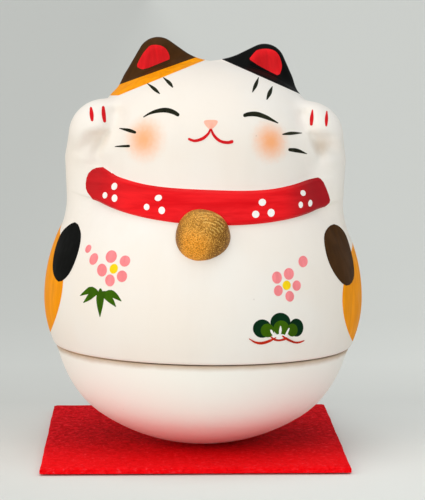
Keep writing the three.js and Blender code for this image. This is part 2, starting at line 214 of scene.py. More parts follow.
def collar_relief(x, y, z):
    azimuth = np.arctan2(x, -y)
    offset = z - collar_middle(azimuth)
    half = collar.width / 2 - np.where(offset > 0, collar_trim(azimuth), 0)
    return collar.relief * (1 - smooth_step(half - collar.edge / 2, half + collar.edge / 2, np.abs(offset)))


def paw_distance(x, y, z):
    height = HEAD_HEIGHT + paw.above_head
    return np.sqrt((np.abs(x) - paw.out) ** 2 + (y + paw.forward) ** 2 + (z - height) ** 2) - paw.radius


def arm_relief(x, y, z):
    """How deep the clay is pressed in under each raised paw, and along the crease between arm and cheek."""
    rise = z - HEAD_HEIGHT
    line = np.minimum(crease.out + crease.bend * (crease.top - rise) ** 2, crease.farthest)
    beside = np.abs(x) - line - crease.aside * np.sign(x)
    under = between(-palm.edge / 2, palm.edge, palm.width + palm.thinning, palm.thinning, beside)
    under = under * between(palm.bottom, palm.fade, palm.top, palm.edge, rise)
    ends = between(crease.bottom, crease.bottom_fade, crease.top, crease.top_fade, rise)
    along = np.exp(-(beside / crease.half_width) ** 2) * ends
    return smooth_step(0, palm.front, -y) * (palm.depth * under + crease.depth * along)


def ear_distance(x, y, z):
    rise = z - HEAD_HEIGHT
    nearest = [triangle_distance(x * one.side, rise, [one.root, one.tip, one.inner]) for one in EARS]
    return np.hypot(np.minimum(*nearest), y / ear.thin) - ear.radius


def dish_distance(x, y, z):
    nearest = [
        np.hypot((x * side - out) / ear_dish.radius_x, (z - HEAD_HEIGHT - rise) / ear_dish.radius_z)
        for side, (out, rise) in ((one.side, one.dish) for one in EARS)
    ]
    deep = (y + ear.radius * ear.thin) / ear_dish.depth
    return (np.hypot(np.minimum(*nearest), deep) - 1) * ear_dish.depth


def clay(points, detailed=True):
    """How far points lie outside the clay; where it isn't detailed, it has only a body, a head and arms."""
    x, y, z = np.moveaxis(points, -1, 0)
    up = z - BELLY_HEIGHT
    lean = math.radians(head.lean)
    head_x = x * math.cos(lean) - up * math.sin(lean)
    head_z = x * math.sin(lean) + up * math.cos(lean) + BELLY_HEIGHT
    torso = egg_distance(x, y, up, belly.radius, belly.radius, belly.rise, belly.drop, 2)
    skull = egg_distance(
        head_x, y, head_z - HEAD_HEIGHT, head.half_width, head.half_depth, head.rise, head.drop,
        head.squareness,
    )
    distance = smooth_union(torso, skull, head.blend)
    if detailed:
        distance = distance - collar_relief(x, y, z)
        depth = belly.radius - tail.sink
        root = (0, depth, BELLY_HEIGHT - tail.below_belly)
        tip = (tail.reach, depth, root[2] + tail.length)
        tail_form = limb_distance(x, y, z, root, tip, tail.radius, tail.radius * tail.tip_scale)
        distance = smooth_union(distance, tail_form, tail.blend)
    shoulder = (arm.out, -arm.forward, HEAD_HEIGHT - arm.shoulder_drop)
    wrist = (arm.out, -arm.forward, HEAD_HEIGHT - arm.wrist_drop)
    arms = limb_distance(np.abs(x), y, z, shoulder, wrist, arm.shoulder_radius, arm.wrist_radius)
    distance = smooth_union(distance, arms, arm.blend)
    if not detailed:
        return distance
    distance = smooth_union(distance, paw_distance(x, y, z), paw.blend) + arm_relief(x, y, z)
    distance = smooth_union(distance, ear_distance(head_x, y, head_z), ear.blend)
    return -smooth_union(-distance, dish_distance(head_x, y, head_z), ear_dish.soft)


def slopes_at(points):
    """The clay's distance at points and its slope there."""
    here = clay(points)
    steps = [(clay(points + nudge) - here) / search.nudge for nudge in np.eye(3) * search.nudge]
    return here, np.stack(steps, -1)


def moved_in(points, past=0.0, only_out=False):
    """Points moved once towards the clay's surface or a little past it; with only_out, none moves in."""
    here, slope = slopes_at(points)
    away = np.minimum(0, here + past) if only_out else here
    share = away / np.maximum((slope ** 2).sum(-1), search.least_slope)
    return points - share[..., None] * slope


# Rows of points on the clay's outside.
def leaving_points(azimuths, heights, elevations=0.0, offsets=0.0, detailed=True):
    """Where rays from the upright axis leave the form that lies an offset outside or inside the clay."""
    azimuths, heights, elevations, offsets = np.broadcast_arrays(azimuths, heights, elevations, offsets)
    level = np.cos(elevations)
    aims = np.stack([np.sin(azimuths) * level, -np.cos(azimuths) * level, np.sin(elevations)], -1)
    starts = np.stack([np.zeros_like(heights), np.zeros_like(heights), heights], -1)
    inside = np.zeros(heights.shape)
    found = np.zeros(heights.shape, bool)
    reach = 0
    while not found.all():
        reach += search.step
        leaves = ~found & (clay(starts + aims * reach, detailed) - offsets >= 0)
        inside = np.where(leaves, reach - search.step, inside)
        found |= leaves
    outside = inside + search.step
    for _ in range(search.halvings):
        middle = (inside + outside) / 2
        within = clay(starts + aims * middle[..., None], detailed) - offsets < 0
        inside = np.where(within, middle, inside)
        outside = np.where(within, outside, middle)
    return starts + aims * ((inside + outside) / 2)[..., None]


def turns_of(count):
    """Azimuths all the way round, from the front, within half a turn either way."""
    turns = np.arange(count) * 2 * math.pi / count
    return np.where(turns > math.pi, turns - 2 * math.pi, turns)


def level_rows(azimuths, split):
    """Points of the clay below the crown, a row at a time, with rows along both edges of the collar."""
    middle, top = collar_middle(azimuths), collar_top(azimuths)
    bottom, low = np.full_like(middle, UPPER_EDGE), middle - COLLAR_FOOT
    stops = [bottom, bottom + seam.edge_round, low, low + collar.edge, top - collar.edge, top]
    counts = [grid.edge, grid.body, grid.foot, grid.band, grid.foot]
    heights = np.array([
        start + (end - start) * step / (count * split)
        for start, end, count in zip(stops, stops[1:], counts) for step in range(count * split)
    ])
    below = np.maximum(0, seam.edge_round - (heights - UPPER_EDGE))
    inset = seam.edge_round - np.sqrt(np.maximum(0, seam.edge_round ** 2 - below ** 2))
    return leaving_points(azimuths, heights, offsets=-inset)


def crown_rows(azimuths):
    """Coarse points of the clay from the collar's upper edge to just below the pole."""
    start = collar_top(azimuths)
    necks = np.array([start + (CROWN_HEIGHT - start) * step / grid.neck for step in range(grid.neck)])
    fan = np.arange(grid.crown)[:, None] * math.pi / 2 / grid.crown
    return np.concatenate([leaving_points(azimuths, necks), leaving_points(azimuths, CROWN_HEIGHT, fan)])


def pulls_at(points):
    """How strongly points draw their neighbours: most on the ears and paws."""
    x, y, z = np.moveaxis(points, -1, 0)
    pulls = 1
    for distance, pull in ((ear_distance, settling.ear_pull), (paw_distance, settling.paw_pull)):
        pulls = pulls + pull * np.exp(-(np.maximum(0, distance(x, y, z)) / settling.reach) ** 2)
    return pulls[..., None]


def rows_above(rows, top):
    return np.concatenate([rows[1:], np.broadcast_to(top, rows[:1].shape)])


def neighbours(rows, top):
    """The rows below, above, left and right of all rows but the first."""
    return rows[:-1], rows_above(rows, top)[1:], np.roll(rows, 1, 1)[1:], np.roll(rows, -1, 1)[1:]


def settled(rows, top, rounds):
    """Rows of points spread more evenly over the crown; the first row stays."""
    for _ in range(rounds):
        pulls = pulls_at(rows)
        drawn = sum(neighbours(rows * pulls, top)) / sum(neighbours(pulls, 1))
        rows = np.concatenate([rows[:1], moved_in(drawn)])
    return np.concatenate([rows[:1], moved_in(moved_in(rows[1:]))])


def split_rows(rows, top):
    """Twice as many rows and columns."""
    wide = np.empty((rows.shape[0], rows.shape[1] * 2, 3))
    wide[:, ::2] = rows
    wide[:, 1::2] = (rows + np.roll(rows, -1, 1)) / 2
    tall = np.empty((wide.shape[0] * 2, wide.shape[1], 3))
    tall[::2] = wide
    tall[1::2] = (wide + rows_above(wide, top)) / 2
    return tall


def clay_rows():
    """All rows of the clay's outside from the seam up, and the top point."""
    top = leaving_points(0.0, CROWN_HEIGHT, math.pi / 2)
    rows = settled(crown_rows(turns_of(grid.around)), top, grid.rounds)
    for level in range(1, grid.splits + 1):
        turns = turns_of(grid.around * 2 ** level)
        rows = split_rows(rows, top)
        rows[0] = leaving_points(turns, collar_top(turns))
        rows = settled(moved_in(moved_in(rows)), top, settling.fine_rounds)
    return np.concatenate([level_rows(turns, 2 ** grid.splits), rows]), top


# Building pieces.
def grid_faces(rows, columns, closed=False):
    """Faces of a grid of points; they look out where the rows go up and the columns go right."""
    faces = []
    for row in range(rows - 1):
        for column in range(columns if closed else columns - 1):
            here = row * columns + column
            right = row * columns + (column + 1) % columns
            faces.append((here, right, right + columns, here + columns))
    return faces


def fan_faces(first, count, tip, turned_over=False):
    """Triangles between a closed row of points and a tip."""
    pairs = [(first + step, first + (step + 1) % count) for step in range(count)]
    return [(*(pair[::-1] if turned_over else pair), tip) for pair in pairs]


def sheet_faces(faces, count):
    """Faces of a thin closed sheet: its top, its underside, whose points follow count later, and its side."""
    used = {edge: True for face in faces for edge in zip(face, face[1:] + face[:1])}
    under = [tuple(count + index for index in reversed(face)) for face in faces]
    side = [(end, start, start + count, end + count) for start, end in used if (end, start) not in used]
    return faces + under + side


def make_piece(name, points, faces, coat, body="figure", sharp=50):
    """A mesh piece from points in metres, smooth but for its sharp edges, that rides on a body."""
    material, slot = coat
    mesh = bpy.data.meshes.new(name)
    mesh.from_pydata([tuple(map(float, point)) for point in points], [], faces)
    mesh.validate()
    mesh.polygons.foreach_set("use_smooth", [True] * len(mesh.polygons))
    mesh.set_sharp_from_angle(angle=math.radians(sharp))
    mesh.materials.append(material)
    piece = placed(name, mesh)
    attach(piece, body)
    return piece


# Building materials. Colours are screen values from 0 to 255, lengths are metres, noise scales per metre.
def linear(*color):
    """A screen colour as the shaders take it."""
    parts = [value / 255 for value in color]
    return (*(part / 12.92 if part <= 0.04045 else ((part + 0.055) / 1.055) ** 2.4 for part in parts), 1.0)


def shade(color, factor):
    """A shader's colour made lighter or darker."""
    return (*(min(1.0, part * factor) for part in color[:3]), 1.0)


class Nodes:
    """A node tree under construction, and short ways to add and join its nodes."""

    def __init__(self, tree):
        self.tree = tree

    def join(self, socket, value):
        if isinstance(value, bpy.types.NodeSocket):
            self.tree.links.new(value, socket)
        else:
            socket.default_value = value

    def add(self, kind, inputs, **settings):
        node = self.tree.nodes.new(kind)
        for name, value in settings.items():
            setattr(node, name, value)
        for name, value in inputs.items():
            self.join(node.inputs[name], value)
        return node

    def mix(self, share, first, second, blend="MIX"):
        inputs = {0: share, 6: first, 7: second}
        return self.add("ShaderNodeMix", inputs, data_type="RGBA", blend_type=blend).outputs[2]


class Finish(Nodes):
    """A material under construction, for a slot of the record."""

    def __init__(self, name, slot, roughness, **constants):
        self.material, self.slot = bpy.data.materials.new(name), slot
        self.material.use_nodes = True
        super().__init__(self.material.node_tree)
        self.shader = self.tree.nodes["Principled BSDF"]
        for socket, value in {"Roughness": roughness, **constants}.items():
            self.shader.inputs[socket.replace("_", " ")].default_value = value
        self.place = self.add("ShaderNodeTexCoord", {}).outputs["Object"]

    def math(self, operation, first, second=0.5):
        return self.add("ShaderNodeMath", {0: first, 1: second}, operation=operation).outputs[0]

    def vector(self, operation, first, second, output="Vector"):
        return self.add("ShaderNodeVectorMath", {0: first, 1: second}, operation=operation).outputs[output]

    def along(self, direction, start=(0, 0, 0)):
        """How far a place lies from a start along a direction."""
        return self.vector("DOT_PRODUCT", self.vector("SUBTRACT", self.place, start), direction, "Value")

    def all_of(self, *shares):
        """Shares multiplied together."""
        product = shares[0]
        for share in shares[1:]:
            product = self.math("MULTIPLY", product, share)
        return product

    def stretched(self, scale, turn=(0, 0, 0)):
        inputs = {"Vector": self.place, "Scale": scale, "Rotation": turn}
        return self.add("ShaderNodeMapping", inputs).outputs[0]

    def noise(self, scale, detail=4, rough=0.55, place=None, warp=0.0):
        inputs = {"Scale": scale, "Detail": detail, "Roughness": rough, "Distortion": warp}
        return self.add("ShaderNodeTexNoise", {"Vector": place or self.place, **inputs}).outputs["Fac"]

    def cells(self, scale):
        return self.add("ShaderNodeTexVoronoi", {"Vector": self.place, "Scale": scale}).outputs["Distance"]

    def ramp(self, value, low, high, start=0.0, end=1.0):
        """A share that turns softly from start to end as a value goes from low to high."""
        inputs = {"Value": value, "From Min": low, "From Max": high, "To Min": start, "To Max": end}
        return self.add("ShaderNodeMapRange", inputs, interpolation_type="SMOOTHSTEP").outputs[0]

    def tones(self, value, low, high, first, second):
        """A colour that turns from a first to a second as a value goes from low to high."""
        return self.mix(self.ramp(value, low, high), linear(*first), linear(*second))

    def stain(self, color, over, value, low, high, start=0.0, end=1.0):
        """A colour with another over it, by the share that a ramp gives."""
        return self.mix(self.ramp(value, low, high, start, end), color, linear(*over))

    def bump(self, height, distance, strength=1.0, normal=None):
        inputs = {"Height": height, "Distance": distance, "Strength": strength}
        if normal:
            inputs["Normal"] = normal
        return self.add("ShaderNodeBump", inputs).outputs["Normal"]

    def finish(self, color=None, roughness=None, normal=None):
        for socket, value in (("Base Color", color), ("Roughness", roughness), ("Normal", normal)):
            if value is not None:
                self.join(self.shader.inputs[socket], value)
        return self.material, self.slot


# Clay colours. The bowl white is painted light, the rose is painted red light bounced from the mat, the seam
# brown is glue stain with painted shadow, and the hollow tan is painted shade.
CLAY_WHITE, CLAY_WARM, CLAY_PALE = (241, 234, 225), (242, 230, 217), (241, 237, 231)
BOWL_PAINTED_LIGHT_WHITE, RED_BOUNCE_ROSE, SEAM_SHADOW_BROWN = (250, 248, 240), (255, 236, 228), (186, 152, 118)
BLUSH_PEACH, HOLLOW_SHADE_TAN, SPECK_BROWN = (252, 176, 124), (206, 184, 160), (120, 96, 74)


def clay_finish(name, brushing, tints):
    """Matt paint over bisque clay: brush streaks, faint clouds and a few specks, and tints on top of them."""
    coat = Finish(name, "white_earthenware", 0.62, Specular_IOR_Level=0.15)
    clouds = coat.noise(28, 3)
    color = coat.mix(0.5, coat.tones(clouds, 0.35, 0.7, CLAY_WARM, CLAY_PALE), linear(*CLAY_WHITE))
    streaks = coat.noise(160, 5, 0.6, coat.stretched(brushing, (0.25, 0.1, 0)))
    color = coat.mix(coat.ramp(streaks, 0.45, 0.75, 0, 0.1), color, shade(linear(*CLAY_WARM), 0.86))
    rare = coat.ramp(coat.noise(75, 1), 0.64, 0.67)
    speck = coat.all_of(coat.ramp(coat.cells(230), 0.03, 0.07, 0.45, 0), rare)
    color = coat.mix(speck, color, linear(*SPECK_BROWN))
    for tint in tints:
        share, tint_color = tint(coat)
        color = coat.mix(share, color, linear(*tint_color))
    normal = coat.bump(streaks, 0.00012, 0.6)
    normal = coat.bump(coat.noise(1400, 3), 0.00003, 0.5, normal)
    return coat.finish(color, coat.ramp(clouds, 0.3, 0.7, 0.56, 0.7), normal)


def dabbed(pixel, radius, color, share):
    """Soft colour dabbed on round the place behind a pixel."""
    ragged, core, fade = 0.25, 0.15, 1.25
    middle = tuple(to_metres(through([pixel])[0]))

    def tint(coat):
        away = coat.vector("DISTANCE", coat.place, middle, "Value")
        away = coat.math("ADD", away, coat.math("MULTIPLY", coat.noise(900, 2), radius * ragged))
        return coat.ramp(away, radius * core, radius * fade, share, 0), color
    return tint


def seam_stain_and_shadow(coat):
    """Glue stain and painted shadow of the shell's overhanging edge, darkening the clay just under the bowl's
    rim.
    """
    above_rim = coat.along(UPRIGHT, tuple(to_metres((0, 0, seam.height))))
    uneven = coat.math("MULTIPLY", coat.noise(140, 4), 0.001)
    return coat.ramp(coat.math("ADD", above_rim, uneven), -0.0013, 0.0004, 0, 0.7), SEAM_SHADOW_BROWN


def paler_bowl_painted_light(coat):
    """Painted light: the whole bowl is made a little whiter than the shell."""
    return 0.75, BOWL_PAINTED_LIGHT_WHITE


def painted_red_bounce(coat):
    """Painted red light, bounced up from the mat, on the bowl's bottom."""
    return coat.ramp(coat.along(UPRIGHT, tuple(to_metres((0, 0, 0)))), 0.001, 0.012, 0.95, 0), RED_BOUNCE_ROSE


def paint_finish(name, slot, color, roughness=0.5, depth=0.00004, wear=0.12, light=1.12):
    """Brushed paint: streaks of lighter and darker colour, a slight ripple and an uneven gloss."""
    paint, color = Finish(name, slot, roughness, Specular_IOR_Level=0.05), linear(*color)
    streaks = paint.noise(420, 4, 0.6, paint.stretched((1, 1, 0.2)), 0.4)
    clouds = paint.noise(120, 3)
    tone = paint.mix(paint.ramp(streaks, 0.32, 0.68), shade(color, 1 - wear), shade(color, light))
    tone = paint.mix(paint.ramp(clouds, 0.35, 0.7, 0, 0.5), tone, color)
    gloss = paint.ramp(clouds, 0.3, 0.7, roughness - 0.08, roughness + 0.08)
    return paint.finish(tone, gloss, paint.bump(streaks, depth, 0.7))


def collar_finish():
    """Red paint brushed round the collar, with painted shade darkening it towards its ends, most on the
    right.
    """
    paint = Finish("collar_red", "red_paint", 0.42, Specular_IOR_Level=0.08)
    streaks = paint.noise(420, 4, 0.6, paint.stretched((0.12, 0.12, 1)), 0.4)
    color = paint.tones(streaks, 0.32, 0.68, (218, 10, 20), (242, 28, 34))
    # Painted shade at both ends of the collar, stronger on the right.
    for side, share in ((-1, 0.5), (1, 0.85)):
        color = paint.stain(color, (150, 22, 30), paint.along((side, 0, 0)), 0.019, 0.029, 0, share)
    return paint.finish(color, paint.ramp(streaks, 0.3, 0.7, 0.36, 0.52), paint.bump(streaks, 0.00008, 0.7))


def gold_finish():
    """Grainy gold: orange painted highlight lower left, brown painted shade right, left and top, scratches
    upper right.
    """
    middle, radius, scratch_step = bell_middle(), bell.radius / METRE, 0.00075
    centre = tuple(to_metres(middle))
    gold = Finish("gold_paint", "gold_paint", 0.42, Metallic=0.25, Specular_IOR_Level=0.2)
    facing = gold.vector("MULTIPLY", gold.place, (1, 0, 1))

    def away_from(aside, above):
        x, _, z = to_metres(middle + np.array((aside, 0, above)) * bell.radius)
        return gold.vector("DISTANCE", facing, (x, 0, z), "Value")

    across = gold.math("DIVIDE", gold.along((1, 0, 0), centre), radius)
    up = gold.math("DIVIDE", gold.along((0, 0, 1), centre), radius)
    right = gold.math("SUBTRACT", across, gold.math("MULTIPLY", up, 0.35))
    color = gold.tones(gold.noise(420, 4, 0.65), 0.3, 0.7, (172, 117, 34), (216, 151, 62))
    # A painted highlight on the lower left; painted shade on the right, at the left edge and along the top
    # edge.
    color = gold.stain(color, (240, 152, 34), away_from(-0.35, -0.4), 0.2 * radius, 0.95 * radius, 0.85, 0)
    color = gold.stain(color, (112, 68, 12), right, 0.1, 0.75, 0, 0.85)
    color = gold.stain(color, (122, 70, 8), across, -0.92, -0.68, 0.85, 0)
    color = gold.stain(color, (160, 112, 32), up, 0.75, 0.9, 0, 0.5)
    rings = gold.math("MULTIPLY", away_from(0.05, -0.25), 2 * math.pi / scratch_step)
    wavy = gold.math("SINE", gold.math("ADD", rings, gold.math("MULTIPLY", gold.noise(260, 3), 5.0)))
    patchy = gold.ramp(gold.noise(520, 2), 0.42, 0.6)
    scratched = gold.all_of(gold.ramp(right, -0.6, -0.05), gold.ramp(up, 0.0, 0.4), patchy)
    scratches = gold.all_of(gold.ramp(wavy, 0.2, 0.9, 0, 0.8), scratched)
    color = gold.mix(scratches, color, linear(250, 206, 112))
    hollows = gold.all_of(gold.ramp(wavy, -0.2, -0.9, 0, 0.65), scratched)
    color = gold.mix(hollows, color, linear(112, 72, 10))
    grain = gold.noise(3300, 3, 0.65)
    color = gold.stain(color, (255, 196, 92), grain, 0.51, 0.62, 0, 0.6)
    color = gold.stain(color, (112, 66, 6), grain, 0.49, 0.36, 0, 0.75)
    normal = gold.bump(scratches, 0.00008, 0.7, gold.bump(grain, 0.00012, 0.8))
    return gold.finish(color, gold.ramp(grain, 0.3, 0.7, 0.36, 0.58), normal)


def felt_finish():
    """Pressed wool felt: matted clumps, stray pale fibres, and painted shade that darkens it towards the
    back.
    """
    sheen = {"Sheen_Weight": 0.06, "Sheen_Roughness": 0.5, "Sheen_Tint": linear(255, 60, 60)}
    wool = Finish("red_felt", "red_felt", 0.95, Specular_IOR_Level=0.05, **sheen)
    clumps = wool.noise(640, 5, 0.7, wool.stretched((1.1, 0.7, 1), (0, 0, 0.3)), 0.8)
    fibres = wool.noise(1300, 4, 0.7, wool.stretched((0.6, 0.7, 1), (0, 0, 0.15)), 1.0)
    backwards = wool.along((0, 1, 0), (0, (felt.shift_y - felt.depth / 2) / METRE, 0))
    # The same red: lit in front, and with painted shade towards the back.
    lit_red = wool.tones(clumps, 0.36, 0.64, (246, 0, 8), (255, 14, 24))
    shaded_red = wool.tones(clumps, 0.36, 0.64, (182, 0, 8), (230, 18, 32))
    color = wool.mix(wool.ramp(backwards, 0.006, 0.05), lit_red, shaded_red)
    stray = wool.all_of(wool.ramp(fibres, 0.55, 0.66, 0, 0.7), wool.ramp(clumps, 0.42, 0.58))
    color = wool.mix(stray, color, linear(255, 76, 84))
    color = wool.stain(color, (170, 0, 4), fibres, 0.46, 0.3, 0, 0.4)
    return wool.finish(color, None, wool.bump(fibres, 0.0003, 0.8, wool.bump(clumps, 0.0006, 0.8)))


def glue_finish():
    """Dried glue, squeezed out unevenly between the rims and holding dust, with painted light making it tan
    at the left.
    """
    resin = Finish("dark_glue", "dark_glue", 0.5, Specular_IOR_Level=0.45)
    clouds = resin.noise(240, 4, 0.6)
    color = resin.tones(clouds, 0.3, 0.7, (92, 70, 50), (140, 116, 90))
    color = resin.stain(color, (70, 50, 36), resin.noise(900, 2), 0.55, 0.75, 0, 0.5)
    # Painted light: the glue turns tan towards the left.
    color = resin.stain(color, (224, 190, 150), resin.along((1, 0, 0)), -0.034, -0.01, 0.85, 0)
    return resin.finish(color, resin.ramp(clouds, 0.3, 0.7, 0.38, 0.65), resin.bump(clouds, 0.0002, 0.8))


def iron_finish():
    """Raw cast iron with a sandy skin, darker pits and a trace of rust."""
    iron = Finish("cast_iron", "cast_iron", 0.6, Metallic=0.85)
    sand = iron.noise(900, 5, 0.7)
    color = iron.tones(iron.noise(110, 4), 0.35, 0.7, (66, 66, 68), (96, 95, 96))
    color = iron.stain(color, (112, 62, 34), iron.noise(60, 5, 0.7), 0.58, 0.72, 0, 0.6)
    return iron.finish(color, iron.ramp(sand, 0.3, 0.7, 0.5, 0.8), iron.bump(sand, 0.0003, 0.8))


def plaster_finish():
    """Dry plaster with trowel clouds, air holes and a chalky grain."""
    chalk = Finish("plaster", "plaster", 0.9, Specular_IOR_Level=0.2)
    holes = chalk.cells(260)
    color = chalk.tones(chalk.noise(70, 5, 0.6), 0.3, 0.7, (204, 198, 186), (228, 223, 212))
    color = chalk.stain(color, (150, 142, 128), holes, 0.08, 0.16, 0.6, 0)
    normal = chalk.bump(chalk.ramp(holes, 0.06, 0.18), 0.0002, 0.7)
    return chalk.finish(color, None, chalk.bump(chalk.noise(1200, 4), 0.0001, 0.6, normal))


make_camera()
outer_rows, crown_top = clay_rows()
columns = outer_rows.shape[1]
clay_vertices = np.concatenate([outer_rows.reshape(-1, 3), crown_top[None]])
clay_faces = grid_faces(len(outer_rows), columns, closed=True)
clay_faces += fan_faces(len(clay_vertices) - 1 - columns, columns, len(clay_vertices) - 1)
clay_tree = BVHTree.FromPolygons([tuple(point) for point in clay_vertices], clay_faces)

edge_radius = -leaving_points(0.0, UPPER_EDGE, offsets=-seam.edge_round)[1]
rim_radius = edge_radius + seam.edge_round - seam.overhang
mouth_radius = edge_radius + seam.edge_round - SHELL_WALL
lip_radius = mouth_radius - lip.clearance


def make_shell(coat):
    """The upper shell: the clay's outside, the mouth for the bowl's lip and the hollow inside."""
    turns = turns_of(columns)
    mouth_top = UPPER_EDGE + lip.height + lip.clearance
    heights = np.linspace(mouth_top, CROWN_HEIGHT, hidden.hollow_rows)[:, None]
    fan = (np.arange(1, hidden.hollow_fan) * math.pi / 2 / hidden.hollow_fan)[:, None]
    inside = [
        leaving_points(turns, heights, 0.0, -SHELL_WALL, False),
        leaving_points(turns, CROWN_HEIGHT, fan, -SHELL_WALL, False),
    ]
    ceiling = leaving_points(0.0, CROWN_HEIGHT, math.pi / 2, -SHELL_WALL, False)
    ring = np.stack([np.sin(turns) * mouth_radius, -np.cos(turns) * mouth_radius, 0 * turns], -1)
    mouth = [ring + (0, 0, mouth_top), ring + (0, 0, UPPER_EDGE)]
    rows = np.concatenate([np.concatenate(inside)[::-1], mouth, outer_rows])
    points = np.concatenate([rows.reshape(-1, 3), crown_top[None], ceiling[None]])
    faces = grid_faces(len(rows), columns, closed=True)
    faces += fan_faces((len(rows) - 1) * columns, columns, len(points) - 2)
    faces += fan_faces(0, columns, len(points) - 1, turned_over=True)
    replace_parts(make_piece("shell", to_metres(points), faces, coat), "upper_shell")


def bowl_profile(inset, steps):
    """The bowl from its bottom up: a true ball where it rocks, and a quicker curve up to the rim."""
    cap_angle, rim_angle = math.radians(rocker.cap_angle), math.radians(bowl.rim_slope)
    radius = rocker.radius - inset
    angles = np.linspace(0, cap_angle, steps)
    cap = np.stack([radius * np.sin(angles), rocker.radius - radius * np.cos(angles)], -1)
    start = cap[-1]
    end = np.array((rim_radius - inset * math.sin(rim_angle), seam.height + inset * math.cos(rim_angle)))
    run = end - start
    reach = (run[0] * math.sin(rim_angle) - run[1] * math.cos(rim_angle)) / math.sin(rim_angle - cap_angle)
    bend = start + reach * np.array((math.cos(cap_angle), math.sin(cap_angle)))
    share = np.linspace(0, 1, steps + 1)[1:, None]
    return np.concatenate([cap, (1 - share) ** 2 * start + 2 * share * (1 - share) * bend + share ** 2 * end])


def turned(name, profile, coat, wobble=0.0):
    """A piece turned about the figure's axis from a profile of radius and height; it may wobble."""
    profile = np.asarray(profile)
    turns = turns_of(hidden.turned)
    sway = 1 + wobble * (np.sin(5 * turns + 1) + 0.6 * np.sin(13 * turns + 2) + 0.4 * np.sin(29 * turns))
    radii = profile[:, :1] * sway
    heights = np.broadcast_to(profile[:, 1:], radii.shape)
    points = np.stack([radii * np.sin(turns), -radii * np.cos(turns), heights], -1).reshape(-1, 3)
    return make_piece(name, to_metres(points), grid_faces(len(profile), hidden.turned, closed=True), coat)


def make_bowl(coat):
    """The bowl with a softly rounded rim, and the lip inside."""
    lip_inner, lip_top, skirt = lip_radius - lip.wall, seam.height + lip.height, seam.height - bowl.skirt
    corner = [
        (rim_radius - bowl.rim_round * (1 - math.cos(a)), seam.height - bowl.rim_round * (1 - math.sin(a)))
        for a in np.linspace(0, math.pi / 2, 6)
    ]
    outside = bowl_profile(0, hidden.bowl_outside)
    outside = outside[outside[:, 1] < seam.height - bowl.rim_round]
    inside = bowl_profile(bowl.wall, hidden.bowl_inside)
    inside = inside[(inside[:, 0] < lip_inner) & (inside[:, 1] < skirt)][::-1]
    profile = [
        (hidden.hub, outside[0][1]), *outside[1:], *corner, (lip_radius, seam.height),
        (lip_radius, lip_top - lip.chamfer), (lip_radius - lip.chamfer, lip_top), (lip_inner, lip_top),
        (lip_inner, skirt), *inside[:-1], (hidden.hub, inside[-1][1]),
    ]
    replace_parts(turned("bowl", profile, coat), "lower_bowl")


def make_glue(coat):
    inner, outer = lip_radius + lip.clearance, rim_radius - glue.inset
    low, high = seam.height + glue.clearance, UPPER_EDGE - glue.clearance
    bulge = [
        (outer + glue.bulge * math.sin(a), (low + high) / 2 - (high - low) / 2 * math.cos(a))
        for a in np.linspace(0, math.pi, 7)
    ]
    profile = [(inner, low), *bulge, (inner, high), (inner, low)]
    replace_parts(turned("glue_line", profile, coat, glue.wobble), "seam_glue")


def bell_middle():
    height = COLLAR_HEIGHT - bell.below_collar
    surface = leaving_points(0.0, height, detailed=False)
    return np.array((bell.shift, surface[1] + bell.sink, height))


def make_bell(coat):
    """A hand-formed ball, slightly flattened in places, pressed onto the clay under the collar."""
    rows, around, presses, middle = 56, 112, 8, bell_middle()
    flat_width, flat_places = 0.5, ((5.35, 0.05), (1.5, 0.02))
    polar = np.linspace(0, math.pi, rows)[1:-1, None]
    turn = (np.arange(around) * 2 * math.pi / around)[None]
    right, up = np.sin(polar) * np.cos(turn), np.sin(polar) * np.sin(turn)
    toward = np.cos(polar) * np.ones_like(turn)
    flats = sum(depth * np.exp(-((turn - place) / flat_width) ** 2) for place, depth in flat_places)
    lobes = 1 + (0.018 * np.cos(3 * turn + 0.5) - flats) * np.sin(polar)
    lobes = lobes + 0.012 * np.sin(4 * right + 1) * np.cos(3 * up)
    offsets = [bell.radius * right * lobes, -bell.depth_radius * toward, bell.radius * up * lobes]
    points = np.stack(offsets, -1).reshape(-1, 3) + middle
    poles = [middle - (0, bell.depth_radius, 0), middle + (0, bell.depth_radius, 0)]
    points = np.concatenate([points, poles])
    for _ in range(presses):
        points = moved_in(points, bell.bite, only_out=True)
    faces = [face[::-1] for face in grid_faces(rows - 2, around, closed=True)]
    faces += fan_faces(0, around, len(points) - 2)
    faces += fan_faces((rows - 3) * around, around, len(points) - 1, turned_over=True)
    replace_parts(make_piece("gold_bell", to_metres(points), faces, coat, sharp=70), "bell")


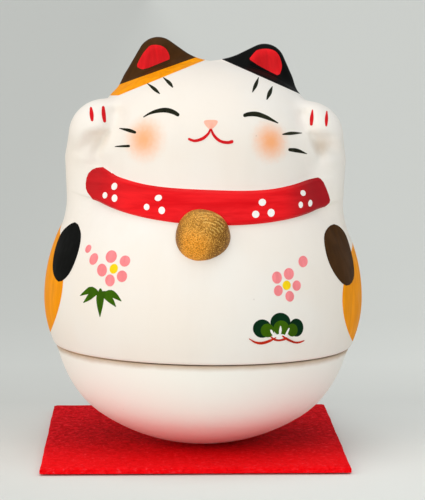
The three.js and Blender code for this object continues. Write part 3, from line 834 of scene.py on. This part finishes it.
def make_felt(coat):
    """A cut sheet that lies nearly flat, with soft, slightly ruffled edges and a lively surface."""
    step, proud, trimmed, at_edge, off_table = 1.0, 0.2, 0.1, 0.499, 0.02
    drop, drop_reach, lift, lift_reach = 0.35, 0.7, 0.25, 0.6
    across, along = int(felt.width / step) + 1, int(felt.depth / step) + 1
    s, t = np.meshgrid(np.linspace(-0.5, 0.5, across), np.linspace(-0.5, 0.5, along))
    x, y = s * felt.width, t * felt.depth
    ripple = 0.05 * np.sin(x / 5 + 1.2 * np.sin(y / 9)) * np.cos(y / 6.5 + 0.8)
    ripple = ripple + 0.03 * np.sin(x / 2.1 + y / 3.3)
    frayed = 0.05 * np.sin(y / 6.1 + 1) + 0.03 * np.sin(y / 2.3) + 0.03 * np.sin(y * 1.7 + np.sin(y / 3))
    worn = 0.06 * np.sin(x / 7.3) + 0.03 * np.sin(x / 2.1 + 2) + 0.03 * np.sin(x * 1.9 + np.sin(x / 4))
    x = x - np.sign(s) * (trimmed + frayed) * (np.abs(s) > at_edge) + felt.shift_x
    y = y - np.sign(t) * (trimmed + worn) * (np.abs(t) > at_edge) + felt.shift_y
    edge = np.minimum(felt.width / 2 * (1 - 2 * np.abs(s)), felt.depth / 2 * (1 - 2 * np.abs(t)))
    top = felt.thickness + proud + ripple - drop * np.exp(-(edge / drop_reach) ** 2)
    bottom = off_table + lift * np.exp(-(edge / lift_reach) ** 2)
    points = np.stack([np.stack([x, y, height], -1) for height in (top, bottom)]).reshape(-1, 3)
    faces = sheet_faces(grid_faces(along, across), across * along)
    piece = make_piece("felt_sheet", points / METRE, faces, coat, body="mat")
    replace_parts(piece, "felt_mat")


# Paint layers: thin closed coats that lie on the clay.
LAYER_LIFT = 0.045
LAYER_ROOT = 0.08
CURVE_STEPS = 16
OUTLINE_POINTS = 40
RING_GAP = 1.3


def struck(start, aim):
    """Where a ray meets the clay."""
    place = clay_tree.ray_cast(Vector(start), Vector(aim).normalized())[0]
    if place is None:
        raise ValueError(f"no clay from {start} towards {aim}")
    return tuple(place)


def through(pixels):
    """Where the camera's rays through pixels meet the clay."""
    return np.array([struck(SEEN_FROM, aim_at(*pixel)) for pixel in pixels])


def make_layer(name, patches, coat, over=1):
    """One painted piece from several patches of points and faces; over counts the coats under and with it."""
    all_points, all_faces, first = [], [], 0
    for points, faces in patches:
        slopes = slopes_at(points)[1]
        slopes = slopes / np.linalg.norm(slopes, axis=-1, keepdims=True)
        all_points += [points + slopes * LAYER_LIFT * over, points - slopes * LAYER_ROOT]
        all_faces += [tuple(first + index for index in face) for face in sheet_faces(faces, len(points))]
        first += 2 * len(points)
    return make_piece(name, to_metres(np.concatenate(all_points)), all_faces, coat)


def smooth_line(points, count, closed=False, spread=None):
    """Points along a smooth curve through given ones, evenly spaced or by shares of its length."""
    points = np.asarray(points, float)
    if closed:
        padded = np.concatenate([points[-1:], points, points[:2]])
    else:
        padded = np.concatenate([2 * points[:1] - points[1:2], points, 2 * points[-1:] - points[-2:-1]])
    s = np.linspace(0, 1, CURVE_STEPS, endpoint=False)[:, None]
    spans = [
        0.5 * (2 * b + (c - a) * s + (2 * a - 5 * b + 4 * c - d) * s ** 2 + (3 * b - a - 3 * c + d) * s ** 3)
        for a, b, c, d in zip(padded, padded[1:], padded[2:], padded[3:])
    ]
    curve = np.concatenate([*spans, points[:1] if closed else points[-1:]])
    length = np.concatenate([[0], np.cumsum(np.linalg.norm(np.diff(curve[:, :2], axis=0), axis=1))])
    shares = np.linspace(0, 1, count, endpoint=not closed) if spread is None else spread
    return np.stack([np.interp(shares * length[-1], length, values) for values in curve.T], -1)


def filled(edge, gap):
    """Points and faces that fill a closed outline from its middle, with rings a gap apart."""
    middle = edge.mean(0)
    x, y = (edge - middle).T
    if (x * np.roll(y, -1) - y * np.roll(x, -1)).sum() > 0:
        edge = edge[::-1]
    rings = max(3, math.ceil(np.linalg.norm(edge - middle, axis=1).max() / gap))
    shares = np.linspace(1, 0, rings, endpoint=False)
    flat = np.concatenate([middle + (edge - middle) * share for share in shares] + [middle[None]])
    faces = grid_faces(rings, len(edge), closed=True)
    return flat, faces + fan_faces((rings - 1) * len(edge), len(edge), len(flat) - 1)


def blob(outline):
    """Points and faces that fill a rounded outline through pixels."""
    return filled(smooth_line(outline, OUTLINE_POINTS, closed=True), RING_GAP)


def ellipse(x, y, width, height, tilt=0, count=32):
    """The outline of an ellipse, its height leaning to the right by the tilt in degrees."""
    turn = np.arange(count) * 2 * math.pi / count
    a, b, lean = np.cos(turn) * width / 2, np.sin(turn) * height / 2, math.radians(tilt)
    columns_out, rows_down = a * math.cos(lean) + b * math.sin(lean), a * math.sin(lean) - b * math.cos(lean)
    return np.stack([x + columns_out, y + rows_down], -1)


def stroke(marks, across=5):
    """Points and faces of a brush stroke through marks of column, row and width, with rounded ends."""
    marks = np.asarray(marks, float)
    step, thinnest, blunt, least_round, hair = 1.2, 0.15, 0.4, 0.3, 0.02
    length = np.linalg.norm(np.diff(marks[:, :2], axis=0), axis=1).sum()
    count = max(12, int(length / step))
    spread = (1 - np.cos(np.linspace(0, math.pi, count))) / 2
    line = smooth_line(marks, count, spread=spread)
    tangent = np.gradient(line[:, :2], axis=0)
    tangent /= np.maximum(np.linalg.norm(tangent, axis=1, keepdims=True), 1e-9)
    side = np.stack([-tangent[:, 1], tangent[:, 0]], -1)
    half = np.maximum(line[:, 2], thinnest) / 2
    for along, width in ((spread * length, marks[0][2]), ((1 - spread) * length, marks[-1][2])):
        near = np.clip(along / max(max(width, blunt) / 2, least_round), 0, 1)
        half = half * np.sqrt(1 - (1 - near) ** 2) + hair
    offsets = np.linspace(-1, 1, across)
    flat = (line[None, :, :2] + offsets[:, None, None] * (side * half[:, None])[None]).reshape(-1, 2)
    return flat, [face[::-1] for face in grid_faces(across, count)]


def make_marks(name, patterns, coat, over=1):
    """A painted piece from patterns of pixels and faces."""
    make_layer(name, [(through(flat), faces) for flat, faces in patterns], coat, over)


def make_dots(name, ellipses, coat, over=1):
    make_marks(name, [blob(ellipse(*one)) for one in ellipses], coat, over)


def make_strokes(name, lines, coat, over=1, across=5):
    make_marks(name, [stroke(line, across) for line in lines], coat, over)


def side_patch(azimuth, height, half_turn, half_height):
    """Points and faces of an oval on the belly, given by azimuth in degrees and height."""
    rim_points, ring_gap, off_axis, points = 72, 0.07, 5, []
    flat, faces = filled(ellipse(0, 0, 2, 2, count=rim_points), ring_gap)
    for along, up in flat:
        turn = math.radians(azimuth + along * half_turn)
        aim = np.array((math.sin(turn), -math.cos(turn), 0))
        points.append(struck(aim * off_axis + (0, 0, height + up * half_height), aim))
    return np.array(points), faces


def edge_planes(outline, inside):
    """Planes through the camera along an outline's edges in pixels; their normals face a pixel inside."""
    planes = []
    for first, second in zip(outline, outline[1:]):
        normal = np.cross(aim_at(*first), aim_at(*second))
        planes.append(normal * np.sign(normal @ aim_at(*inside)) / np.linalg.norm(normal))
    return planes


def cut_clay(faces, planes=()):
    """Faces of the clay, cut by planes through the camera, as points and faces."""
    work = bmesh.new()
    used = sorted({index for face in faces for index in face})
    vertices = {index: work.verts.new(clay_vertices[index]) for index in used}
    for face in faces:
        work.faces.new([vertices[index] for index in face])
    for normal in planes:
        geometry = work.verts[:] + work.edges[:] + work.faces[:]
        bmesh.ops.bisect_plane(
            work, geom=geometry, dist=1e-4, plane_co=SEEN_FROM, plane_no=normal, clear_inner=True,
        )
    work.verts.index_update()
    points = np.array([tuple(v.co) for v in work.verts])
    faces = [tuple(v.index for v in face.verts) for face in work.faces]
    work.free()
    return points, faces


def ear_faces(side, past_middle=8):
    """The clay's faces on the crown on one side of the head, and a little past its middle."""
    corners = clay_vertices[np.array(clay_faces[:-columns])]
    chosen = (corners[..., 2].min(1) > HEAD_HEIGHT) & ((corners[..., 0] * side).max(1) > -past_middle)
    return [clay_faces[number] for number in np.flatnonzero(chosen)]


def inner_ear(faces, outline):
    """The clay's faces in front inside a closed, rounded outline."""
    edge = smooth_line(outline, OUTLINE_POINTS, closed=True)
    front = [face for face in faces if clay_vertices[list(face), 1].max() < 0]
    return cut_clay(front, edge_planes([*edge, edge[0]], edge.mean(0)))


def collar_faces(start, end):
    """The clay's faces on the collar between two azimuths in degrees."""
    first = (grid.edge + grid.body) * 2 ** grid.splits
    rows = range(first, first + (grid.band + 2 * grid.foot) * 2 ** grid.splits)
    numbers = range(round(start * columns / 360), round(end * columns / 360))
    return [clay_faces[row * columns + number % columns] for row in rows for number in numbers]


# Real peach blush on the cheeks; painted shade in tan in the hollows under the paws.
LEFT_CHEEK, RIGHT_CHEEK, LEFT_HOLLOW, RIGHT_HOLLOW = (143.5, 139), (271, 141.5), (96, 138), (321, 146)
make_shell(clay_finish("white_earthenware", (1, 1, 0.16), [
    dabbed(LEFT_CHEEK, 0.0066, BLUSH_PEACH, 0.95), dabbed(RIGHT_CHEEK, 0.0062, BLUSH_PEACH, 1),
    dabbed(LEFT_HOLLOW, 0.0038, HOLLOW_SHADE_TAN, 0.2), dabbed(RIGHT_HOLLOW, 0.0034, HOLLOW_SHADE_TAN, 0.6),
]))
make_bowl(clay_finish("white_bowl", (0.2, 0.2, 1), [paler_bowl_painted_light, painted_red_bounce, seam_stain_and_shadow]))
make_glue(glue_finish())
make_bell(gold_finish())
make_felt(felt_finish())
for node_name, (node_material, _) in (("ballast_weight", iron_finish()), ("weight_bed", plaster_finish())):
    for material_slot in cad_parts[node_name].material_slots:
        material_slot.material = node_material

collar_red = collar_finish()
ear_red = paint_finish("ear_red", "red_paint", (224, 28, 34), wear=0.18)
mouth_red = paint_finish("mouth_red", "red_paint", (208, 22, 30), 0.45)
bark_red = paint_finish("bark_red", "red_paint", (196, 44, 20), wear=0.3)
black = paint_finish("black", "dark_paint", (8, 9, 8), 0.6, depth=0.0001, light=1.5)
face_ink = paint_finish("face_ink", "dark_paint", (30, 32, 20), 0.6, wear=0.3, light=1.9)
brown = paint_finish("brown", "brown_paint", (66, 40, 14), 0.55, depth=0.0001, light=1.25)
orange = paint_finish("orange", "orange_paint", (250, 153, 0), 0.55)
pink = paint_finish("petal_pink", "pink_paint", (250, 138, 142), 0.55)
yellow = paint_finish("flower_yellow", "yellow_paint", (252, 208, 24))
leaf_green = paint_finish("leaf_green", "green_paint", (54, 94, 0), wear=0.25)
pine_dark = paint_finish("pine_dark", "green_paint", (4, 44, 20), wear=0.25)
pine_light = paint_finish("pine_light", "green_paint", (58, 96, 2), wear=0.2)
white = paint_finish("dot_white", "white_paint", (248, 244, 238), wear=0.05, light=1.0)
nose_pink = paint_finish("nose_pink", "pink_paint", (250, 178, 156), wear=0.05)

# The collar in front, between the arms, and behind them, with groups of three white dots.
LEFT_END, LEFT_INSIDE = [
    (112, 173.3), (103.1, 167.1), (96.4, 167.8), (92, 169.7), (88.4, 173.3), (86.6, 177.8), (85.7, 183.6),
    (85.9, 188.5), (87.5, 192.5), (90.6, 196.5),
], (110, 186)
RIGHT_END, RIGHT_INSIDE = [
    (314, 177.2), (317, 176.9), (320.5, 178.7), (323.5, 182.2), (326.4, 188.6), (328.9, 195.5), (330, 200),
    (329.4, 202.9), (325.4, 206.4),
], (300, 197)
whole_turn, end_turn, back_start, back_end = 50, 80, 100, 260
make_layer("collar_front", [
    cut_clay(collar_faces(-end_turn, -whole_turn), edge_planes(LEFT_END, LEFT_INSIDE)),
    cut_clay(collar_faces(-whole_turn, whole_turn)),
    cut_clay(collar_faces(whole_turn, end_turn), edge_planes(RIGHT_END, RIGHT_INSIDE)),
], collar_red)
make_layer("collar_back", [cut_clay(collar_faces(back_start, back_end))], collar_red)
collar_dots = [
    (114.5, 186.4, 5.6, 7.4, 20), (105.1, 195.4, 4.6, 6.4, 10), (114.7, 198.3, 5.6, 7.4, 8),
    (158.4, 198, 7.4, 6, -25), (146.7, 207.1, 5.6, 6.4, 0), (161.8, 210.5, 6.5, 7.4, 0),
    (262.2, 202.4, 7.4, 7, -20), (255.6, 214.4, 7.2, 7.2, 0), (271, 212.9, 7, 8, 0),
    (302.9, 193.1, 5, 6, -25), (300.6, 204.9, 4.2, 6.4, 0), (310.1, 203.3, 4, 6.8, 5),
]
make_dots("collar_dots", collar_dots, white, over=2)

# The calico patches: ears, and two ovals on each side of the belly.
BROWN_LINE = [(120.2, 84.4), (195.3, 57.7)]
ORANGE_LINE = [(118.2, 95.5), (205.6, 59.8)]
BLACK_LINE = [(223, 59.8), (298.7, 93.4)]
PAW_LINE = [(100, 95.4), (320, 95.4)]
LEFT_TIP, FACE, RIGHT_TIP = (158, 38), (210, 110), (267, 44)
over_paws = edge_planes(PAW_LINE, LEFT_TIP)
over_brown, under_brown = edge_planes(BROWN_LINE, LEFT_TIP), edge_planes(BROWN_LINE, FACE)
over_orange, over_black = edge_planes(ORANGE_LINE, LEFT_TIP), edge_planes(BLACK_LINE, RIGHT_TIP)
left_faces, right_faces = ear_faces(-1), ear_faces(1)
make_layer("ear_brown", [cut_clay(left_faces, over_brown + over_paws)], brown)
make_layer("ear_orange", [cut_clay(left_faces, over_orange + under_brown + over_paws)], orange)
make_layer("ear_black", [cut_clay(right_faces, over_black + over_paws)], black)
left_dish = [
    (137.2, 65), (138.6, 67.8), (143.5, 69.6), (149.1, 67.8), (158.9, 65), (167.3, 61.8), (169.7, 58.7),
    (168.8, 53.8), (165.9, 48.9), (161.7, 46), (156.1, 44.9), (150.5, 45.6), (146.3, 49.6), (142.1, 55.2),
]
right_dish = [
    (249.7, 58.4), (252.2, 55.2), (257.1, 50.3), (265.6, 48.9), (273.3, 50.3), (278.2, 54.5), (281, 61.5),
    (281.7, 67.1), (279.6, 74.1), (275.4, 75.1), (268.4, 72), (258.6, 65.7), (250.8, 61.2),
]
inner_ears = [inner_ear(left_faces, left_dish), inner_ear(right_faces, right_dish)]
make_layer("ear_insides", inner_ears, ear_red, over=2)
make_layer("side_orange", [side_patch(-92, 44.6, 31, 14.8), side_patch(88, 42, 31, 13.4)], orange)
left_oval = [
    (75.1, 222.3), (80.5, 231), (80.3, 243), (76, 259), (69, 274), (60, 281.8), (54.5, 276), (52.9, 265),
    (56, 247), (63, 231),
]
right_oval = [
    (333.8, 224.2), (325.6, 231), (324.2, 242), (328, 260), (336, 276), (345.5, 285.5), (352, 282),
    (353.9, 271), (351, 252), (344, 232),
]
make_marks("side_black", [blob(left_oval)], black, over=2)
make_marks("side_brown", [blob(right_oval)], brown, over=2)

# The face. A stroke's marks are column, row and width.
eyes = [
    [(143.3, 117.2, 0.8), (150, 113.4, 2.2), (158, 110.9, 3.8), (166, 110.2, 4.7), (173, 112, 4.4),
     (179.3, 115.6, 3.2)],
    [(243.2, 116, 3.2), (248.5, 114.3, 4.2), (256.6, 114.2, 4.8), (265.5, 117, 4), (272.4, 120.2, 2.4),
     (278.2, 123.2, 0.8)],
]
whiskers = [
    [(119.2, 128.3, 0.5), (129.1, 130.4, 3.4), (136.2, 132.8, 2.4)],
    [(114.8, 146.6, 0.6), (122, 146.2, 2), (130.1, 146, 2.6)],
    [(302.1, 133, 0.5), (291, 133.3, 3.2), (282.3, 134.4, 1)],
    [(288.2, 149.5, 3), (297.1, 150.6, 3.8), (307, 153.8, 0.5)],
]
forehead = [
    [(163.1, 77.4, 0.6), (169.4, 83, 3.4), (173, 87.6, 0.8)],
    [(147.3, 83.4, 0.6), (154.6, 89.2, 3.4), (159.9, 93.9, 0.8)],
    [(258.6, 77.4, 0.6), (255.6, 85.2, 3.6), (252.2, 92.5, 0.6)],
    [(272.4, 86.3, 0.6), (269.6, 93, 4), (266.7, 99.8, 0.8)],
]
make_strokes("eyes", eyes, face_ink)
make_strokes("whiskers", whiskers, face_ink)
make_strokes("forehead_strokes", forehead, face_ink)
nose = [
    (203.8, 121.6), (206, 120.2), (210.8, 119.9), (215.8, 120.2), (217.7, 121.6), (216.2, 125),
    (212.6, 128.6), (210.6, 129.2), (208.4, 128.4), (205.2, 125),
]
make_marks("nose", [blob(nose)], nose_pink)
mouth = [
    [(210.6, 128.8, 1.6), (208, 134, 2.4), (202.2, 138.8, 3), (194.5, 140.8, 2.6), (188, 138.7, 2.2)],
    [(210.9, 128.8, 1.6), (214, 135.6, 2.6), (220, 141, 2.8), (227.5, 142.6, 3), (233.4, 141.2, 3.4)],
]
make_strokes("mouth", mouth, mouth_red, over=2)
claws = [
    [(90.9, 106.9, 1.8), (91.6, 114, 4), (92.2, 121.4, 2.4)],
    [(103.2, 106, 2.4), (103.6, 114, 4), (104.8, 122.6, 2.6)],
    [(312.5, 109.6, 1), (311.8, 118, 3.6), (311.2, 125.7, 2.6)],
    [(326.8, 110.9, 1), (326.4, 119, 3.2), (326.2, 126.5, 1.6)],
]
make_strokes("claws", claws, mouth_red)

# The plum blossoms, the bamboo and the pine. An ellipse is column, row, width, height and tilt.
petals = [
    (111.3, 256.6, 10.8, 12.8, 22), (125, 261.1, 10.2, 11.4, 30), (122, 276.3, 10.2, 11.6, 8),
    (110, 280.4, 9.6, 12, 0), (102, 270.1, 9.8, 12.8, 0), (93.8, 259, 8, 12.2, 22),
    (88.3, 248.8, 5.4, 8.6, 24),
    (276.9, 277.6, 9.8, 12.2, -4), (288.8, 273.9, 10, 11.8, 0), (296.6, 285.6, 8.3, 10.4, 0),
    (289.7, 296.3, 8.6, 10.8, -6), (278.3, 290.7, 8.8, 10.8, 4), (303, 261.5, 9.2, 11.4, 0),
]
make_dots("petals", petals, pink)
flower_hearts = [(113.8, 268.8, 8, 10, 18), (286.6, 285.3, 8.2, 9.4, 0)]
make_dots("flower_hearts", flower_hearts, yellow)
leaves = [
    [(98, 293.6, 4), (91.5, 290.2, 7.2), (86, 292.4, 4.4), (80, 295.8, 0.4)],
    [(98.5, 292.5, 4), (93.8, 292.8, 7), (89, 297.8, 5), (83.3, 302.9, 0.4)],
    [(100.6, 288.4, 1.6), (100.2, 296, 7.2), (100, 305, 6), (100, 317, 0.4)],
    [(101, 292.4, 3), (106, 295, 7.4), (111, 300.6, 5.6), (116, 306.9, 0.4)],
    [(104, 294, 3), (110.5, 293, 6.4), (116, 296.6, 5), (121.5, 301.3, 0.4)],
]
make_strokes("bamboo", leaves, leaf_green, across=7)
dark_lobes = [(262.2, 328.6, 18.6, 18.4), (280.4, 322.6, 20, 19.6), (296.2, 327.6, 14.2, 18)]
light_lobes = [(267.4, 330.4, 13.6, 13.6), (281.2, 328, 15.4, 15.2), (292.2, 330, 10.4, 13)]
make_dots("pine_dark", dark_lobes, pine_dark)
make_dots("pine_light", light_lobes, pine_light, over=2)
needles = [
    [(270.6, 329.6, 1.6), (272, 332.6, 2.2), (274, 336, 1.2)],
    [(280.4, 325.8, 0.6), (280.2, 330, 2.4), (279.6, 335, 1.6)],
    [(289, 328, 0.8), (287.4, 331.4, 1.8), (285.2, 335.8, 1.4)],
]
snow = [
    (270.6, 338), (274, 335.4), (279, 334), (284, 334.6), (287.6, 337.4), (284, 340.6), (279, 341.4),
    (274, 340.6),
]
make_marks("pine_needles", [stroke(marks) for marks in needles] + [blob(snow)], white, over=3)
branches = [
    [(248.9, 338.6, 0.6), (255.1, 342.2, 1.8), (261.4, 343.1, 2.4), (269.1, 341, 2.2), (275.9, 337.2, 0.8)],
    [(270.3, 336.4, 1), (274, 339.2, 2.2), (279, 340.2, 1.8), (284.6, 338.8, 2.2), (286.8, 337.2, 1)],
    [(281.8, 335.6, 1.4), (287.2, 339.2, 2.2), (294.3, 342.2, 1.8), (299.4, 342.2, 1.4), (304.2, 340.4, 0.5)],
]
make_strokes("pine_branches", branches, bark_red, over=4)

# A pale floor that reaches far behind, with painted light and shade in tones by depth and a lighter right
# side, and soft light from all round.
floor_ends = Sizes(front=-0.1, back=0.9, left=-0.12, right=0.12, half=30, below=0.0002)
FLOOR_TONES = [
    (0.0, 252), (0.03, 240), (0.1, 238), (0.135, 228), (0.176, 220), (0.25, 226), (0.36, 220), (0.55, 217),
    (1.0, 216),
]


def make_floor():
    paper = Finish("floor_paper", None, 0.9, Specular_IOR_Level=0.1)
    parts = paper.add("ShaderNodeSeparateXYZ", {0: paper.place}).outputs
    ends = {"From Min": floor_ends.front, "From Max": floor_ends.back}
    depth = paper.add("ShaderNodeMapRange", {"Value": parts["Y"], **ends})
    tones = paper.add("ShaderNodeValToRGB", {"Fac": depth.outputs[0]})
    elements = tones.color_ramp.elements
    while len(elements) < len(FLOOR_TONES):
        elements.new(0.5)
    for element, (place, tone) in zip(elements, FLOOR_TONES):
        element.position = place
        element.color = linear(tone, tone + 1, tone - 4)
    # Painted light: the floor turns lighter towards the right.
    tint = paper.tones(parts["X"], floor_ends.left, floor_ends.right, (236, 236, 236), (252, 252, 252))
    paper.finish(paper.mix(1.0, tones.outputs[0], tint, "MULTIPLY"))
    half = floor_ends.half
    mesh = bpy.data.meshes.new("floor")
    corners = [(-half, -half, 0), (half, -half, 0), (half, half, 0), (-half, half, 0)]
    mesh.from_pydata(corners, [], [(0, 1, 2, 3)])
    mesh.materials.append(paper.material)
    floor = placed("floor", mesh)
    floor.location.z = -floor_ends.below


def make_sun(name, direction, strength, spread, color):
    """A broad, distant lamp that shines from a direction."""
    light = bpy.data.lights.new(name, "SUN")
    light.energy, light.angle, light.color = strength, math.radians(spread), color
    lamp = placed(name, light)
    lamp.rotation_mode = "QUATERNION"
    lamp.rotation_quaternion = Vector(direction).to_track_quat("Z", "Y")


def make_world(strength, left_color, right_color):
    """Light from all round, warmer on the left than on the right."""
    world = bpy.data.worlds.new("studio")
    world.use_nodes = True
    sky = Nodes(world.node_tree)
    toward = sky.add("ShaderNodeTexCoord", {}).outputs["Generated"]
    parts = sky.add("ShaderNodeSeparateXYZ", {0: toward})
    aside = sky.add("ShaderNodeMapRange", {"Value": parts.outputs["X"], "From Min": -1}).outputs[0]
    background = sky.tree.nodes["Background"]
    sky.join(background.inputs["Color"], sky.mix(aside, left_color, right_color))
    background.inputs["Strength"].default_value = strength
    bpy.context.scene.world = world


make_floor()
make_sun("front", (-0.1, -1, 0.02), 1.2, 45, (1.0, 1.0, 1.0))
make_sun("left", (-1, -0.5, 0.2), 1.08, 50, (1.0, 0.93, 0.85))
make_sun("right", (1, -0.5, 0.2), 0.14, 50, (0.86, 0.98, 1.1))
make_sun("top", (0, -0.2, 1), 1.25, 50, (0.96, 1.0, 1.03))
make_world(0.43, (1.06, 1.03, 0.98, 1), (0.9, 0.96, 1.0, 1))

view_settings = bpy.context.scene.view_settings
view_settings.view_transform = "Standard"
